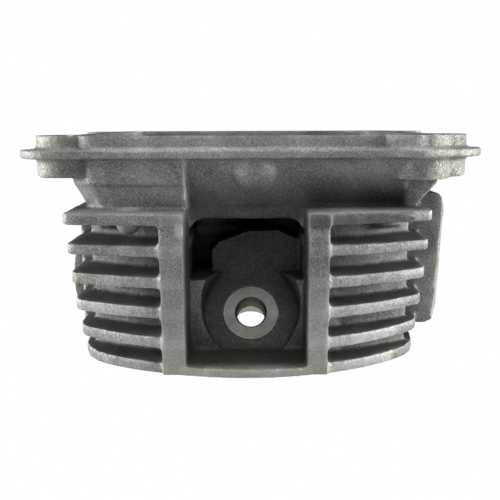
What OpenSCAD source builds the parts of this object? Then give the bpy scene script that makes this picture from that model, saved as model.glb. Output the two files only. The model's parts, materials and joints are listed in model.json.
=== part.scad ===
// Air-cooled overhead-valve cylinder head with its valve gear.
// Millimetres. Origin: bore axis on the gasket face. +Z points to the rocker cover,
// -Y is the spark-plug side, -X the intake side and +X the exhaust side.

/* [Casting] */
// Height from the gasket face to the cover face
head_h = 97; // [96:0.5:99]
// Width across the cooling fins
fin_w = 150; // [148:1:152]
// Reach of the fins ahead of the bore axis, on the plug side
front_y = 72; // [71:0.5:74]
// Reach of the fins behind the bore axis, on the push-rod side
back_y = 66; // [65:0.5:68]
// Spacing of the fins
fin_pitch = 12.9; // [12.7:0.1:13.1]
// Thickness of a fin
fin_t = 4.7; // [4.2:0.1:5]
// Width of the spark-plug well
well_w = 50; // [48:1:52]
// Depth of the spark-plug well behind the fins' front
well_depth = 26; // [24:1:27]

/* [Gas side] */
// Radius of the combustion chamber at the gasket face
chamber_r = 41; // [40.5:0.5:42]
// Depth of the combustion chamber's dome
chamber_h = 12; // [11.5:0.5:12.5]
// Distance from the bore axis to each valve, along X
valve_x = 19; // [19:0.5:20]
// Distance from the bore axis to the valves, along Y
valve_y = 8; // [7:0.5:9]
// Radius of the intake port
intake_port_r = 12; // [11:0.5:12]
// Radius of the exhaust port
exhaust_port_r = 11; // [10:0.5:12]
// Slope of the spark plug below level, in degrees
plug_slope = 32; // [30:1:34]

/* [Valve gear] */
// Radius of the intake valve's head
intake_valve_r = 17.4; // [16.5:0.1:17.4]
// Radius of the exhaust valve's head
exhaust_valve_r = 15; // [14:0.1:15.2]
// Radius of a valve stem
stem_r = 3.3; // [3:0.1:3.5]
// Coils in a valve spring
spring_turns = 5; // [4.5:0.5:5.5]
// Radius of a valve spring's wire
wire_r = 1.5; // [1.3:0.1:1.6]
// Distance along Y from the valve to the rocker's pivot
valve_arm = 25; // [24:0.5:26]
// Distance along Y from the rocker's pivot to the push rod
rod_arm = 19; // [18:0.5:20]

/* [Fixings] */
// Radius of a head-bolt hole
head_bolt_r = 5.5; // [5:0.1:5.6]
// Half the head bolts' spacing along X
head_bolt_x = 52; // [51:0.5:52]
// Half the head bolts' spacing along Y
head_bolt_y = 31; // [30:0.5:31.5]
// Half the cover screws' spacing along X
cover_bolt_x = 77; // [76:0.5:78]
// Half the cover screws' spacing along Y
cover_bolt_y = 44; // [43:0.5:45]

/* [Hidden] */
$fn = 48;
eps = 1;                          // how far a cutter runs past the face it opens
arc_steps = 7;                    // straight steps in a long curved edge
corner_steps = 4;                 // straight steps in a rounded corner

cast_colour = "#8b8a84";
steel_colour = "#b4b4b2";
dark_steel_colour = "#6d6c6a";
bronze_colour = "#a08a5c";
seal_colour = "#2f2a28";

// Fins: level 0 is the gasket flange, levels 1 to 5 are fins
fin_levels = 5;
base_t = 4.3;
top_fin_z = 67;
function fin_top(k) = k == 0 ? base_t : top_fin_z - fin_pitch * (fin_levels - k);
fin_corners = [30, 14, 8, 5, 4.5, 4];
function left_sag(k) = 30.5 - 5.1 * k - (k == 0 ? 3 : 0);
function right_sag(k) = 38.5 - 5.1 * k - (k == 0 ? 4 : 0);

// Wall that closes the gaps between the fins, and the thick metal ahead of the chamber
wall_setback = 16.5;
wall_t = 5;
wall_top = 62;
wall_bow_r = 150;
core_top = 22;
core_half_x = 58;

// Spark-plug well
well_x = -1.5;
well_x0 = well_x - well_w / 2;
well_x1 = well_x + well_w / 2;
well_back = -front_y + well_depth;
left_rib_t = 9.6;
right_rib_t = 8.2;
rib_back = -20;
sill_z = 35;
tunnel_roof = 61.5;
tunnel_back = -12;
scoop_x1 = 65.8;

// Rocker box
floor_z = 66;
pocket_floor = 52;
pocket_r = 15.5;
plate_z0 = 87.8;
plate_z1 = 91.4;
boss_z0 = 80;
cover_cx = 2;
cavity_x0 = -62;
cavity_x1 = 64;
cavity_y0 = -38.5;
cavity_y1 = 60;

// Ports
port_z = 31;
intake_face_x = -82;
exhaust_face_x = 87;
block_y0 = -30;
block_y1 = 40;
block_top = 70.7;

// Chamber
dome_r = (chamber_r * chamber_r + chamber_h * chamber_h) / (2 * chamber_h);
roof_z = 9.5;
seat_h = 6;

// Spark-plug hole: M14 x 1.25, shown at its minor diameter
plug_r = 6.33;
plug_reach = 12.7;
spotface_r = 12.4;
spotface_depth = 0.4;
plug_boss_r = 21.3;
plug_at = [0.3, well_back + 10, 17.8];

// Valve gear
intake_at = [-valve_x, valve_y, 0];
exhaust_at = [valve_x, valve_y, 0];
tip_z = 82;
lash = 0.15;
run_gap = 0.03;
guide_r = 5.5;
guide_z0 = 34;
guide_z1 = 58;
spring_seat_t = 1.2;
spring_z0 = pocket_floor + spring_seat_t;
spring_z1 = 77;
spring_mean_r = 11;
pivot_y = valve_y + valve_arm;
pivot_z = 88;
ball_r = 8;
rocker_w = 15;
stud_r = 4;
rod_y = pivot_y + rod_arm;
rod_tunnel_half = [25, 5];

// ---------- outlines ----------

function arc(c, r, a0, a1, n) = [
  for (i = [0:n]) let (a = a0 + (a1 - a0) * i / n) c + r * [cos(a), sin(a)]
];
function flipped(points, sx, sy) = [for (p = points) [sx * p[0], sy * p[1]]];
function reversed(points) = [for (i = [len(points) - 1:-1:0]) points[i]];

// Half of a bowed edge and its rounded corner, from the centre line to the side
function bowed_quarter(w, y, sag, corner) =
  let (
    r = (w * w + sag * sag) / (2 * sag),
    rise = sqrt(pow(r - corner, 2) - pow(w - corner, 2)),
    turn = atan2(rise, w - corner)
  )
  concat(
    arc([0, y - r], r, 90, turn, arc_steps),
    arc([w - corner, y - r + rise], corner, turn, 0, corner_steps)
  );

function fin_outline(k) =
  let (
    right = bowed_quarter(fin_w / 2, front_y, right_sag(k), fin_corners[k]),
    left = bowed_quarter(fin_w / 2, front_y, left_sag(k), fin_corners[k]),
    back = bowed_quarter(fin_w / 2, back_y, left_sag(k), fin_corners[k] + 2)
  )
  concat(
    back,
    reversed(flipped(right, 1, -1)),
    flipped(left, -1, -1),
    reversed(flipped(back, -1, 1))
  );

function rounded_box(x0, x1, y0, y1, r) = concat(
  arc([x1 - r, y1 - r], r, 90, 0, corner_steps),
  arc([x1 - r, y0 + r], r, 0, -90, corner_steps),
  arc([x0 + r, y0 + r], r, -90, -180, corner_steps),
  arc([x0 + r, y1 - r], r, 180, 90, corner_steps)
);

// ---------- small helpers ----------

module slab(points, z0, z1) {
  translate([0, 0, z0]) linear_extrude(z1 - z0) polygon(points);
}

module box(x0, x1, y0, y1, z0, z1) {
  translate([x0, y0, z0]) cube([x1 - x0, y1 - y0, z1 - z0]);
}

module post(at, r, z0, z1) {
  translate([at[0], at[1], z0]) cylinder(r = r, h = z1 - z0);
}

// A round bar along X at height z
module bar_x(x0, x1, y, z, r) {
  translate([x0, y, z]) rotate([0, 90, 0]) cylinder(r = r, h = x1 - x0);
}

// Puts children on the spark plug's axis, +Z out of the hole's mouth
module on_plug_axis() {
  translate(plug_at) rotate([90 - plug_slope, 0, 0]) children();
}

module at_head_bolts() {
  for (sx = [-1, 1], sy = [-1, 1])
    translate([sx * head_bolt_x, sy * head_bolt_y, 0]) children();
}

module at_cover_bolts() {
  for (sx = [-1, 1], sy = [-1, 1])
    translate([cover_cx + sx * cover_bolt_x, sy * cover_bolt_y, 0]) children();
}

// ---------- casting ----------

module fin_stack() {
  for (k = [0:fin_levels])
    slab(fin_outline(k), k == 0 ? 0 : fin_top(k) - fin_t, fin_top(k));
}

module backing_wall() {
  translate([0, wall_bow_r - front_y, 0]) intersection() {
    difference() {
      cylinder(r = wall_bow_r - wall_setback, h = wall_top);
      cylinder(r = wall_bow_r - wall_setback - wall_t, h = wall_top);
    }
    translate([0, -wall_bow_r, 0]) box(-70, 70, 0, 45, 1, wall_top);
  }
}

module front_core() {
  intersection() {
    post([0, wall_bow_r - front_y], wall_bow_r - wall_setback, 0, core_top);
    box(-core_half_x, core_half_x, -60, -20, 0, core_top);
  }
  box(well_x0 - 1, well_x1 + 1, well_back, rib_back, 0, sill_z);
}

// The well, the tunnel above its sill, and the way in for the plug socket
module well_space() {
  box(well_x0, well_x1, -front_y - eps, well_back, base_t - 0.9, top_fin_z + eps);
  translate([0, tunnel_back, 0]) rotate([90, 0, 0])
    linear_extrude(front_y + tunnel_back) polygon(tunnel_outline());
  intersection() {
    on_plug_axis() cylinder(r = plug_boss_r + 0.3, h = 36);
    box(well_x0, well_x1, -front_y, 0, base_t - 0.9, 60);
  }
}

// The tunnel's mouth, seen from the plug side, with rounded upper corners
function tunnel_outline() = concat(
  [[well_x0, sill_z]],
  arc([well_x0 + 5.5, tunnel_roof - 4], 4, 180, 90, corner_steps),
  arc([well_x1 - 5.5, tunnel_roof - 4], 4, 90, 0, corner_steps),
  [[well_x1, sill_z]]
);

// The well's side walls, their fronts flush with the fins
module well_ribs() {
  for (rib = [[well_x0 - left_rib_t, left_rib_t], [well_x1, right_rib_t]])
    translate([rib[0], 0, 0]) rotate([90, 0, 90]) linear_extrude(rib[1])
      polygon([
        [-68, 0], [-front_y + 1.2, top_fin_z - 0.5], [rib_back, top_fin_z - 0.5], [rib_back, 0]
      ]);
}

module plug_boss() {
  intersection() {
    on_plug_axis() translate([0, 0, -22]) cylinder(r = plug_boss_r, h = 22);
    box(well_x0 + 1, well_x1 - 1, -60, 0, base_t - 1, 60);
  }
}

// The metal round the valve throats, which shows above the plug boss
module throat_block() {
  translate([0, -4, 0]) rotate([90, 0, 0]) linear_extrude(25)
    polygon([[-17.5, 10], [-17.5, 45], [-14, 49], [0, 54], [12, 54.4], [22, 50], [22, 10]]);
}

// A cast lump on the underside of the top fin
module fin_lump() {
  translate([-50, -57, top_fin_z - 5.2]) sphere(r = 5);
}

module gas_block() {
  post([0, 0], 46, 0, 22);
  for (at = [intake_at, exhaust_at]) post(at, pocket_r + 4, 8, floor_z);
  bar_x(intake_face_x + 4, -valve_x, valve_y, port_z, intake_port_r + 5);
  bar_x(valve_x, exhaust_face_x - 4, valve_y, port_z, exhaust_port_r + 5);
  at_head_bolts() cylinder(r = 11.5, h = floor_z - 1.5);
}

module intake_block() {
  box(-76.4, -58, block_y0, block_y1, 6, 66);
  translate([intake_face_x, valve_y, port_z]) rotate([90, 0, 90]) linear_extrude(20)
    polygon(concat(arc([16, 0], 15, -90, 90, 8), arc([-16, 0], 15, 90, 270, 8)));
}

// Square at the top, with a front corner that draws in towards the foot
module exhaust_block() {
  intersection() {
    hull() {
      slab(exhaust_plan(3.5, 8.5), 11, 12);
      slab(exhaust_plan(0.6, 1.2), 66, block_top);
    }
    translate([0, block_y1 + eps, 0]) rotate([90, 0, 0])
      linear_extrude(block_y1 - block_y0 + 2 * eps)
        polygon([[59, 10], [79, 10], [84.5, 13], [exhaust_face_x, 18], [exhaust_face_x, 65.5],
          [86, 69], [83.5, block_top + eps], [59, block_top + eps]]);
  }
}

function exhaust_plan(cut_x, cut_y) = [
  [60, block_y0], [exhaust_face_x - cut_x, block_y0], [exhaust_face_x, block_y0 + cut_y],
  [exhaust_face_x, block_y1], [60, block_y1]
];

module rod_tunnel_block() {
  box(-32, 32, 42, 63, 0, floor_z);
  for (sx = [-1, 1]) post([sx * valve_x, pivot_y], 8, 44, floor_z);
}

module rocker_box() {
  hull() {
    slab(rounded_box(-68, 70, -56.5, 64, 14), top_fin_z - 1, top_fin_z);
    slab(rounded_box(-75, 80, -57.5, 66, 16), 77, 78);
  }
  slab(rounded_box(-75, 80, -58.5, 66, 16), 77.6, plate_z0 + 1);
  slab(rounded_box(-66, 66, -46, 64, 8), 58, top_fin_z);
}

// The cover flange above its thin mid plate, with screw ears at the corners
module cover_flange() {
  slab(flange_outline(), plate_z0, head_h);
  slab(plate_outline(), plate_z0, plate_z1);
  for (ear = cover_ears) post(ear, ear[2], ear[3], head_h);
}

// Each ear's place, radius and underside; the front right corner takes three
cover_ears = [
  [cover_cx - cover_bolt_x - 0.5, -cover_bolt_y, 14, boss_z0],
  [65, -47.5, 12.5, plate_z0],
  [70.5, -45.5, 13, boss_z0 - 1],
  [cover_cx + cover_bolt_x - 1, -36, 15, boss_z0 - 0.5],
  [cover_cx - cover_bolt_x, cover_bolt_y, 13, boss_z0],
  [cover_cx + cover_bolt_x, cover_bolt_y, 14, boss_z0]
];

function flange_outline() = concat(
  arc([70, 58], 10, 90, 20, corner_steps),
  [[80, 20], [80, -30], [56, -54], [48, -56.5], [18, -60]],
  arc([-62, -50], 10, -90, -180, corner_steps),
  [[-76, -20], [-77, 20]],
  arc([-62, 58], 10, 160, 90, corner_steps)
);

function plate_outline() = concat(
  arc([81, 48], 17, 80, 0, corner_steps),
  [[92, 8], [93, -10]],
  arc([80.5, -35], 19, 10, -60, corner_steps + 1),
  arc([67, -46], 16, -60, -122, corner_steps),
  [[50, -58], [18, -61.5]],
  arc([-79, -45.5], 16.7, -90, -172, corner_steps + 2),
  [[-86, -12], [-86, 14]],
  arc([-77, 47], 17, 175, 92, corner_steps),
  [[-30, 69], [30, 69]]
);

// The recess under the flange, on the plug side
module scoop() {
  profile = [
    [-90, plate_z0], [-57, plate_z0], [-54.5, 82], [-51, 76.5], [-47, 71.5], [-44.5, 67],
    [-43.5, tunnel_roof], [-90, tunnel_roof]
  ];
  module cut(x0, x1) {
    translate([x0, 0, 0]) rotate([90, 0, 90]) linear_extrude(x1 - x0) polygon(profile);
  }
  cut(well_x0, well_x1);
  intersection() {
    cut(well_x1 - eps, scoop_x1);
    box(0, scoop_x1 + eps, -91, 0, top_fin_z, 90);
  }
  box(scoop_x1 - eps, 90, -91, -49.5, top_fin_z, boss_z0);
}

module scoop_bulge() {
  intersection() {
    translate([2, -48.5, 84]) sphere(r = 11);
    box(-12, 16, -62, -46, 70, plate_z0 + 0.5);
  }
}

module rocker_cavity() {
  slab(rounded_box(cavity_x0, cavity_x1, cavity_y0, cavity_y1, 8), floor_z, head_h + eps);
  slab(rounded_box(cavity_x0 - 4, cavity_x1 + 4, -49, cavity_y1, 10), 80, head_h + eps);
  for (at = [intake_at, exhaust_at]) post(at, pocket_r, pocket_floor, floor_z + eps);
  at_head_bolts() translate([0, 0, floor_z - 2]) cylinder(r = 9.5, h = 24);
}

module port(at, face_x, r, seat_r) {
  post(at, seat_r, roof_z + seat_h - eps, port_z);
  translate([at[0], at[1], port_z]) sphere(r = r);
  post(at, r, roof_z, port_z);
  bar_x(min(at[0], face_x), max(at[0], face_x), at[1], port_z, r);
}

module chamber() {
  intersection() {
    translate([0, 0, chamber_h - dome_r]) sphere(r = dome_r);
    translate([0, 0, -eps]) cylinder(r = 60, h = 40);
  }
  post(intake_at, intake_valve_r + 1.8, -eps, roof_z);
  post(exhaust_at, exhaust_valve_r + 2, -eps, roof_z);
}

module plug_hole() {
  on_plug_axis() {
    translate([0, 0, -plug_reach - eps]) cylinder(r = plug_r, h = plug_reach + 2 * eps);
    translate([0, 0, -plug_reach - 12]) cylinder(r = plug_r + 1.2, h = 12);
    translate([0, 0, -spotface_depth]) cylinder(r = spotface_r, h = 30);
  }
}

module machined_holes() {
  for (v = [[intake_at, intake_valve_r + 1.2], [exhaust_at, exhaust_valve_r + 1.4]]) {
    post(v[0], v[1], roof_z - eps, roof_z + seat_h);
    post(v[0], guide_r, port_z, pocket_floor + eps);
  }
  at_head_bolts() translate([0, 0, -eps]) cylinder(r = head_bolt_r, h = 80);
  at_cover_bolts() translate([0, 0, head_h - 14]) cylinder(r = 2.5, h = 20);
  for (sx = [-1, 1]) post([sx * valve_x, pivot_y], stud_r, 53, floor_z + eps);
  box(-rod_tunnel_half[0], rod_tunnel_half[0], rod_y - rod_tunnel_half[1],
    rod_y + rod_tunnel_half[1], -eps, floor_z + eps);
  for (s = [-1, 1]) {
    bar_x(intake_face_x - eps, intake_face_x + 14, valve_y + s * 23, port_z, 3.4);
    bar_x(exhaust_face_x - 16, exhaust_face_x + eps, valve_y + s * 22, port_z, 3.4);
  }
}

module head_casting() {
  color(cast_colour) difference() {
    union() {
      difference() {
        union() {
          fin_stack();
          backing_wall();
          front_core();
        }
        well_space();
      }
      difference() {
        union() {
          rocker_box();
          gas_block();
        }
        scoop();
        well_space();
      }
      well_ribs();
      plug_boss();
      throat_block();
      fin_lump();
      scoop_bulge();
      intake_block();
      exhaust_block();
      rod_tunnel_block();
      cover_flange();
    }
    rocker_cavity();
    port(intake_at, intake_face_x - eps, intake_port_r, intake_port_r);
    port(exhaust_at, exhaust_face_x + eps, exhaust_port_r, exhaust_port_r);
    chamber();
    plug_hole();
    machined_holes();
  }
}

// ---------- valve gear ----------

// A pressed ring whose lower inside edge is the 45-degree valve seat
module valve_seat(at, valve_r, outer_r) {
  throat_r = valve_r - 1.9;
  translate(at) rotate_extrude() polygon([
    [outer_r, roof_z], [outer_r, roof_z + seat_h], [throat_r, roof_z + seat_h],
    [throat_r, roof_z + 1.9], [valve_r, roof_z]
  ]);
}

module valve_guide(at) {
  translate(at) rotate_extrude() polygon([
    [stem_r + run_gap, guide_z0], [guide_r - 1.5, guide_z0], [guide_r, guide_z0 + 3],
    [guide_r, guide_z1 - 1], [guide_r - 1, guide_z1], [stem_r + run_gap, guide_z1]
  ]);
}

module stem_seal(at) {
  translate(at) rotate_extrude() polygon([
    [stem_r + run_gap, guide_z1], [guide_r - 0.9, guide_z1], [guide_r, guide_z1 - 0.9],
    [guide_r, 54.5], [guide_r + 1.6, 54.5], [guide_r + 1.6, guide_z1],
    [guide_r, guide_z1 + 1.6], [stem_r + 1.4, guide_z1 + 3.4], [stem_r + run_gap, guide_z1 + 3.4]
  ]);
}

module spring_seat(at) {
  translate(at) rotate_extrude() polygon([
    [guide_r + 2, pocket_floor], [pocket_r - 0.5, pocket_floor],
    [pocket_r - 0.5, spring_z0], [guide_r + 2, spring_z0]
  ]);
}

// Head face, margin, 45-degree face, tulip and stem, turned about Z
module valve(at, valve_r, top_z) {
  seat_gap = 0.05;
  z0 = roof_z - seat_gap;
  neck = [
    for (i = [0:6]) let (a = 90 * i / 6)
      [stem_r + (valve_r - 1.9 - stem_r) * (1 - sin(a)), z0 + 1.9 + 13 * (1 - cos(a))]
  ];
  translate(at) rotate_extrude() polygon(concat(
    [[0, z0 - 1.5], [valve_r - 0.3, z0 - 1.5], [valve_r, z0 - 1.2], [valve_r, z0]],
    neck,
    [[stem_r, tip_z - 6.4], [stem_r - 0.8, tip_z - 6], [stem_r - 0.8, tip_z - 4.4],
      [stem_r, tip_z - 4], [stem_r, top_z - 0.6], [stem_r - 0.6, top_z], [0, top_z]]
  ));
}

// A helix of round wire, its end coils closed up, as one swept surface
module valve_spring(at) {
  sides = 10;
  steps = 22;
  rings = floor(spring_turns * steps);
  rise = spring_z1 - spring_z0 - 2 * wire_r;
  function ease(t) = t < 0.18 ? 0.6 * t : t > 0.82 ? 1 - 0.6 * (1 - t)
    : 0.108 + (t - 0.18) * (1 - 2 * 0.108) / 0.64;
  function ring(i) =
    let (t = i / rings, a = 360 * spring_turns * t, z = spring_z0 + wire_r + rise * ease(t))
    [for (j = [0:sides - 1]) let (b = 360 * j / sides, r = spring_mean_r + wire_r * cos(b))
      [r * cos(a), r * sin(a), z + wire_r * sin(b)]];
  points = [for (i = [0:rings]) each ring(i)];
  skin = [
    for (i = [0:rings - 1], j = [0:sides - 1])
      let (a = i * sides + j, b = i * sides + (j + 1) % sides)
        each [[a, a + sides, b + sides], [a, b + sides, b]]
  ];
  first = [for (j = [0:sides - 1]) j];
  last = [for (j = [sides - 1:-1:0]) rings * sides + j];
  translate(at) polyhedron(points = points, faces = concat(skin, [first], [last]));
}

module spring_retainer(at) {
  cone = 5.6;
  translate(at) rotate_extrude() polygon([
    [cone - 1.2, 73.4], [8.6, 73.4], [9.2, 74], [9.2, spring_z1], [12.8, spring_z1],
    [12.8, spring_z1 + 1.6], [12.2, spring_z1 + 2.2], [cone + 1.4, spring_z1 + 3],
    [cone, spring_z1 + 3]
  ]);
}

// Two half collars that grip the stem's groove inside the retainer's cone
module valve_keepers(at) {
  split = 0.5;
  for (s = [0, 180]) translate(at) rotate([0, 0, s + split * 4]) intersection() {
    rotate_extrude() polygon([
      [stem_r + 0.02, 73.6], [4.36, 73.6], [5.56, spring_z1 + 2.8],
      [stem_r + 0.02, spring_z1 + 2.8], [stem_r + 0.02, tip_z - 4],
      [stem_r - 0.78, tip_z - 4.4], [stem_r - 0.78, tip_z - 6], [stem_r + 0.02, tip_z - 6.4]
    ]);
    translate([-10, split, 70]) cube([20, 10, 12]);
  }
}

// A hardened cap on the stem's end, which lets the exhaust valve turn
module valve_cap(at) {
  translate(at) rotate_extrude() polygon([
    [0, tip_z - 1.2], [stem_r + 0.03, tip_z - 1.2], [stem_r + 0.03, tip_z - 1.8],
    [5, tip_z - 1.8], [5, tip_z - 0.6], [4.4, tip_z], [0, tip_z]
  ]);
}

function rocker_profile() = concat(
  arc([valve_y, tip_z + lash + 8], 8, -135, -50, 6),
  [[pivot_y - 13, 83.2], [pivot_y - 7, 78.4], [pivot_y - 4, 77], [pivot_y + 4, 77],
    [pivot_y + 8, 79.4], [rod_y - 4, 79.6], [rod_y + 4.5, 79.6], [rod_y + 5.5, 82],
    [rod_y + 4, 87], [rod_y - 5, 88.4], [pivot_y + 8.5, 86.6], [pivot_y - 8.5, 86.8],
    [valve_y + 2, 88.6], [valve_y - 5.6, 87.4]]
);

module rocker_arm(x) {
  difference() {
    translate([x - rocker_w / 2, 0, 0]) rotate([90, 0, 90])
      linear_extrude(rocker_w) polygon(rocker_profile());
    translate([x, pivot_y, pivot_z]) sphere(r = ball_r + 0.05);
    box(x - 4.7, x + 4.7, pivot_y - 8.2, pivot_y + 5, 70, 90);
    translate([x, rod_y, 78.6]) sphere(r = 3.6);
    for (s = [-1, 1]) translate([x + s * rocker_w / 2, 0, 0]) {
      box(-3, 3, valve_y - 12, valve_y + 7.5, 70, 95);
      box(-2.5, 2.5, rod_y - 7, rod_y + 8, 70, 95);
    }
  }
}

// Threaded stud, screwed into the floor of the rocker box, with a hex at its foot
module rocker_stud(x) {
  post([x, pivot_y], stud_r, 53, 95.8);
  translate([x, pivot_y, floor_z + 2]) cylinder(r = 6.6, h = 5, $fn = 6);
}

// Half-ball that the rocker turns on, with a hex above it
module adjusting_nut(x) {
  difference() {
    union() {
      intersection() {
        translate([x, pivot_y, pivot_z]) sphere(r = ball_r);
        box(x - 10, x + 10, pivot_y - 10, pivot_y + 10, pivot_z - 7.4, pivot_z - 0.8);
      }
      translate([x, pivot_y, pivot_z - 0.9]) cylinder(r = 6.9, h = 3.1, $fn = 6);
    }
    post([x, pivot_y], stud_r, 70, 100);
  }
}

module lock_nut(x) {
  difference() {
    translate([x, pivot_y, pivot_z + 2.2]) cylinder(r = 6.9, h = 4, $fn = 6);
    post([x, pivot_y], stud_r, 80, 100);
  }
}

// Pressed plate under the studs, with a slot that steers each push rod
module push_rod_guide_plate() {
  color(steel_colour) difference() {
    slab(rounded_box(-28, 28, pivot_y - 8.5, rod_y + 6, 4), floor_z, floor_z + 2);
    for (sx = [-1, 1]) {
      post([sx * valve_x, pivot_y], stud_r + 0.3, 60, 70);
      box(sx * valve_x - 3.4, sx * valve_x + 3.4, rod_y - 4, rod_y + 4, 60, 70);
    }
    box(-8, 8, rod_y - 5, rod_y + 8, 60, 70);
  }
}

module intake_valve_seat() {
  color(dark_steel_colour) valve_seat(intake_at, intake_valve_r, intake_valve_r + 1.2);
}
module exhaust_valve_seat() {
  color(dark_steel_colour) valve_seat(exhaust_at, exhaust_valve_r, exhaust_valve_r + 1.4);
}
module intake_valve_guide() {
  color(bronze_colour) valve_guide(intake_at);
}
module exhaust_valve_guide() {
  color(bronze_colour) valve_guide(exhaust_at);
}
module intake_stem_seal() {
  color(seal_colour) stem_seal(intake_at);
}
module exhaust_stem_seal() {
  color(seal_colour) stem_seal(exhaust_at);
}
module intake_spring_seat() {
  color(steel_colour) spring_seat(intake_at);
}
module exhaust_spring_seat() {
  color(steel_colour) spring_seat(exhaust_at);
}
module intake_valve() {
  color(steel_colour) valve(intake_at, intake_valve_r, tip_z);
}
module exhaust_valve() {
  color(dark_steel_colour) valve(exhaust_at, exhaust_valve_r, tip_z - 1.2);
}
module intake_valve_spring() {
  color(dark_steel_colour) valve_spring(intake_at);
}
module exhaust_valve_spring() {
  color(dark_steel_colour) valve_spring(exhaust_at);
}
module intake_spring_retainer() {
  color(steel_colour) spring_retainer(intake_at);
}
module exhaust_spring_retainer() {
  color(steel_colour) spring_retainer(exhaust_at);
}
module intake_valve_keepers() {
  color(steel_colour) valve_keepers(intake_at);
}
module exhaust_valve_keepers() {
  color(steel_colour) valve_keepers(exhaust_at);
}
module exhaust_valve_cap() {
  color(steel_colour) valve_cap(exhaust_at);
}
module intake_rocker_arm() {
  color(dark_steel_colour) rocker_arm(-valve_x);
}
module exhaust_rocker_arm() {
  color(dark_steel_colour) rocker_arm(valve_x);
}
module intake_rocker_stud() {
  color(steel_colour) rocker_stud(-valve_x);
}
module exhaust_rocker_stud() {
  color(steel_colour) rocker_stud(valve_x);
}
module intake_adjusting_nut() {
  color(steel_colour) adjusting_nut(-valve_x);
}
module exhaust_adjusting_nut() {
  color(steel_colour) adjusting_nut(valve_x);
}
module intake_lock_nut() {
  color(steel_colour) lock_nut(-valve_x);
}
module exhaust_lock_nut() {
  color(steel_colour) lock_nut(valve_x);
}

head_casting();
intake_valve_seat();
exhaust_valve_seat();
intake_valve_guide();
exhaust_valve_guide();
intake_stem_seal();
exhaust_stem_seal();
intake_spring_seat();
exhaust_spring_seat();
intake_valve();
exhaust_valve();
intake_valve_spring();
exhaust_valve_spring();
intake_spring_retainer();
exhaust_spring_retainer();
intake_valve_keepers();
exhaust_valve_keepers();
exhaust_valve_cap();
intake_rocker_arm();
exhaust_rocker_arm();
intake_rocker_stud();
exhaust_rocker_stud();
intake_adjusting_nut();
exhaust_adjusting_nut();
intake_lock_nut();
exhaust_lock_nut();
push_rod_guide_plate();
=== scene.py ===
"""Studio scene of an air-cooled overhead-valve cylinder head with its valve gear.

The design frame gives every place and size. This file gives the surfaces: the cast skin
of the head, its machined faces, the coil springs, the threads and every finish.
"""

import json
import math

import bmesh
import bpy
import numpy as np
from mathutils import Matrix, Vector, noise


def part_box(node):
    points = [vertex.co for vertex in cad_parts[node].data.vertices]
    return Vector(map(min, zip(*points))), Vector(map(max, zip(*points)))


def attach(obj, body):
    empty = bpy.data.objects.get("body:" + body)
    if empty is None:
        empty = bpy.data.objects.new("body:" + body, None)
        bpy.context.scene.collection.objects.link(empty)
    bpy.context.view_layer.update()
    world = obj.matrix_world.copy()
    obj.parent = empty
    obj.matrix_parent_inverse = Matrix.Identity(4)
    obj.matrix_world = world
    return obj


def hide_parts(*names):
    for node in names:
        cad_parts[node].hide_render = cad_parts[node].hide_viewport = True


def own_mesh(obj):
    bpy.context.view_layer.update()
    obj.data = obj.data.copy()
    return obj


bl_info = {
    "name": "Cylinder Head Studio",
    "version": (1, 0, 0),
    "blender": (4, 5, 0),
    "location": "View3D > Sidebar > Cylinder Head",
    "description": "Finishes a finned cylinder head, its valves, springs and rocker arms",
    "category": "Object",
}

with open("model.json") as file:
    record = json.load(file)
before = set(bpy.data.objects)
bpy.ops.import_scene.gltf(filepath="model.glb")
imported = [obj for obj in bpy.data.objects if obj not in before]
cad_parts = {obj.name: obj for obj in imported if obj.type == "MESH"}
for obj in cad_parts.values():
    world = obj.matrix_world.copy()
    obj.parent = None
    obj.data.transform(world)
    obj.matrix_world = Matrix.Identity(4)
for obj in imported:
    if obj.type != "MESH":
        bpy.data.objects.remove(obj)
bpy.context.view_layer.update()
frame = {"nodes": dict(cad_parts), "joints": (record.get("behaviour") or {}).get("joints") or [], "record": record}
MM = 0.001
HEAD = "head"
SIDES = ("intake", "exhaust")
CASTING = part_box("head_casting")
GASKET_Z = CASTING[0].z
COVER_Z = CASTING[1].z
FRONT_Y = CASTING[0].y
MOUNTS = {mount["name"]: mount for mount in frame["record"]["mounts"]}
JOINTS = {joint["name"]: joint for joint in frame["joints"]}
BODIES = frame["record"]["behaviour"]["bodies"]
BODY_OF = {node: body for body, nodes in BODIES.items() for node in nodes}
SLOT_OF = {part["node"]: part["material_slot"] for part in frame["record"]["subparts"]}

# Places on the casting that the record doesn't name
FIN_COUNT = 5
FIN_PITCH = 12.9 * MM
FIN_T = 4.7 * MM
TOP_FIN_Z = COVER_Z - 30 * MM
WELL_X0 = -26.5 * MM
WELL_X1 = 23.5 * MM
WELL_BACK_Y = FRONT_Y + 32 * MM
LEFT_RIB = 9.6 * MM
RIGHT_RIB = 8.2 * MM
NECK_X1 = 66 * MM
NECK_Y = -40 * MM
BLOCK_X0 = 60 * MM
BLOCK_Y = -25 * MM
RECESS_Y = -48 * MM
RECESS_Z = COVER_Z - 9.5 * MM
CHIP = (WELL_X0 - 1.2 * MM, FRONT_Y + 0.8 * MM, TOP_FIN_Z - 6.5 * MM)
CHIP_R = 2.6 * MM
LUMP = (-50 * MM, -57 * MM, TOP_FIN_Z - 5.2 * MM)
LUMP_R = 6.5 * MM
SEAM_LEVELS = [TOP_FIN_Z - FIN_T / 2 - i * FIN_PITCH for i in range(FIN_COUNT)]

# Sizes of the skin's waves, and how close to a milled level the skin is brought flat
BROAD_WAVE = 9 * MM
CLOSE_WAVE = 2.6 * MM
MILLED = 0.55 * MM

# Threads, in millimetres: standard pitches, and how deep the blind holes go
M6_PITCH, M8_PITCH, PLUG_PITCH = 1.0, 1.25, 1.25
COVER_DEPTH, INTAKE_DEPTH, EXHAUST_DEPTH = 14, 14, 16

# Nuts: the bore that clears a stud, and how much of the plain hexagon's width they have
NUT_BORE = 4.05 * MM
INSIDE_BOX = 0.995

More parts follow.
